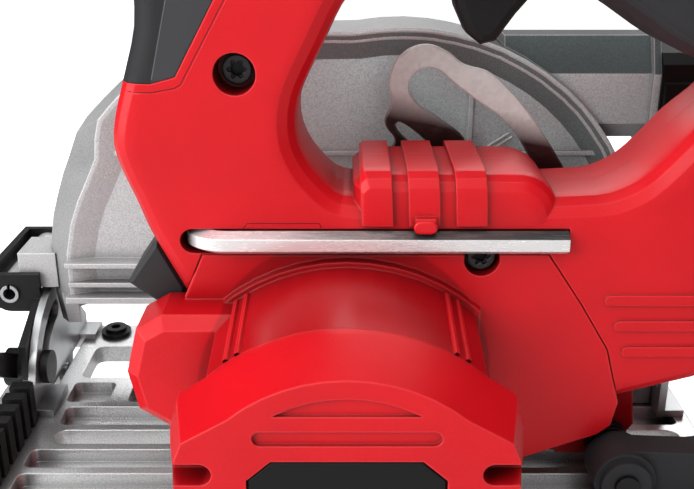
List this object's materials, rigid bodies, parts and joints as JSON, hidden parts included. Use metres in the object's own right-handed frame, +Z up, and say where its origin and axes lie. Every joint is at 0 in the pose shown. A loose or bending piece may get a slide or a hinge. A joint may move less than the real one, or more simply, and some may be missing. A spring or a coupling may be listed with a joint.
{
  "type": "circular saw",
  "caption": "Cordless sidewinder circular saw with ribbed cast shoe, bevel and depth hinges, toothed blade, spring-closed lower guard, D handle with trigger and slide-on battery.",
  "frame": {"origin": "a point on the sole of the shoe, under the motor's axis, 60 mm to the motor side of the blade", "axes": "+X to the saw's rear, +Y across to the blade side, +Z up from the sole"},
  "size_m": [0.3991, 0.2115, 0.278],
  "materials": {
    "cast_alloy": "blasted die-cast",
    "steel_plate": "zinc plated",
    "bright_steel": "bright plated",
    "ground_steel": "ground",
    "black_steel": "black oxide",
    "red_shell": "fine spark texture",
    "black_plastic": "matt moulded",
    "grip_rubber": "soft matt",
    "hook_steel": "textured coat",
    "lamp_lens": "clear",
    "board_green": "solder mask",
    "copper_winding": "enamelled wire and laminations",
    "core_steel": "laminated",
    "cell_wrap": "shrink sleeve"
  },
  "bodies": {
    "base": {"shoe": "cast_alloy", "front_quadrant": "steel_plate", "rear_quadrant": "steel_plate", "bevel_pins": "steel_plate", "shoe_end_cap": "black_plastic", "stop_screw": "black_steel"},
    "tilt_frame": {"front_bracket": "black_steel", "depth_bracket": "steel_plate", "depth_pivot_pin": "steel_plate", "bevel_bolt": "black_steel"},
    "saw": {"upper_guard": "cast_alloy", "gearcase": "cast_alloy", "gearcase_screws": "black_steel", "motor_housing": "red_shell", "motor_cap": "red_shell", "cap_panel": "black_plastic", "cap_screws": "black_steel", "stator": "copper_winding", "motor_bearings": "ground_steel", "spindle_bearings": "ground_steel", "handle_left": "red_shell", "handle_right": "red_shell", "front_grip_skin": "grip_rubber", "rear_grip_skin": "grip_rubber", "handle_screws": "black_steel", "switch_unit": "black_plastic", "control_board": "board_green", "terminal_block": "black_plastic", "dust_adapter": "black_plastic", "dust_adapter_screw": "black_steel", "led_housing": "black_plastic", "led_lens": "lamp_lens", "hook_pin": "black_steel", "guard_spring": "ground_steel", "guard_retainer": "steel_plate", "depth_bolt": "black_steel"},
    "bevel_lever": {"bevel_lever": "black_steel"},
    "spindle": {"blade": "ground_steel", "inner_flange": "black_steel", "outer_flange": "black_steel", "blade_bolt": "black_steel", "spindle": "ground_steel", "drive_gear": "ground_steel"},
    "rotor": {"rotor_shaft": "ground_steel", "rotor_core": "core_steel", "cooling_fan": "black_plastic"},
    "lower_guard": {"lower_guard": "ground_steel", "guard_lever": "black_plastic"},
    "trigger": {"trigger": "black_plastic"},
    "lock_off": {"lock_off_button": "black_plastic"},
    "depth_lever": {"depth_lever": "grip_rubber"},
    "rafter_hook": {"rafter_hook": "hook_steel"},
    "wrench": {"hex_wrench": "bright_steel"},
    "spindle_lock": {"spindle_lock": "black_plastic"},
    "battery": {"battery_case": "red_shell", "battery_cells": "cell_wrap"},
    "battery_latch": {"battery_latch": "black_plastic"}
  },
  "joints": [
    {"name": "bevel", "type": "hinge", "parent": "base", "child": "tilt_frame", "pos_m": [0, 0.06, 0.0055], "axis": [-1, 0, 0], "range_deg": [0, 50]},
    {"name": "depth", "type": "hinge", "parent": "tilt_frame", "child": "saw", "pos_m": [-0.144, 0.06, 0.049], "axis": [0, -1, 0], "range_deg": [0, 16]},
    {"name": "bevel_lever_turn", "type": "hinge", "parent": "tilt_frame", "child": "bevel_lever", "pos_m": [-0.138, 0.03142, 0.022], "axis": [-1, 0, 0], "range_deg": [0, 40]},
    {"name": "spindle_spin", "type": "hinge", "parent": "saw", "child": "spindle", "pos_m": [0.02182, 0.06, 0.04601], "axis": [0, 1, 0], "continuous": true},
    {"name": "rotor_spin", "type": "hinge", "parent": "saw", "child": "rotor", "pos_m": [0, -0.04, 0.056], "axis": [0, 1, 0], "continuous": true},
    {"name": "lower_guard_swing", "type": "hinge", "parent": "saw", "child": "lower_guard", "pos_m": [0.02182, 0.05, 0.04601], "axis": [0, -1, 0], "range_deg": [0, 115], "stiffness_Nm_per_rad": 0.25, "springref_deg": -34.38},
    {"name": "trigger_pull", "type": "hinge", "parent": "saw", "child": "trigger", "pos_m": [0.066, -0.0125, 0.1905], "axis": [0, 1, 0], "range_deg": [0, 9], "stiffness_Nm_per_rad": 0.3, "springref_deg": -5.73},
    {"name": "lock_off_push", "type": "slide", "parent": "saw", "child": "lock_off", "axis": [0, 1, 0], "range_m": [0, 0.004], "stiffness_N_per_m": 300, "springref_m": -0.002},
    {"name": "depth_lock", "type": "hinge", "parent": "saw", "child": "depth_lever", "pos_m": [0.096, -0.04, 0.02], "axis": [0, -1, 0], "range_deg": [0, 30]},
    {"name": "hook_swing", "type": "hinge", "parent": "saw", "child": "rafter_hook", "pos_m": [0.02, 0.0176, 0.103], "axis": [0, -1, 0], "range_deg": [0, 60]},
    {"name": "wrench_pull", "type": "slide", "parent": "saw", "child": "wrench", "axis": [0, -1, 0], "range_m": [0, 0.024]},
    {"name": "spindle_lock_push", "type": "slide", "parent": "saw", "child": "spindle_lock", "axis": [-0.5, 0, -0.866], "range_m": [0, 0.003], "stiffness_N_per_m": 400, "springref_m": -0.002},
    {"name": "battery_slide", "type": "slide", "parent": "saw", "child": "battery", "axis": [1, 0, 0], "range_m": [0, 0.1]},
    {"name": "latch_push", "type": "slide", "parent": "battery", "child": "battery_latch", "axis": [0, 0, -1], "range_m": [0, 0.004], "stiffness_N_per_m": 400, "springref_m": -0.002}
  ],
  "couplings": [
    {"joint": "rotor_spin", "follows": "spindle_spin", "ratio": -3.8}
  ]
}
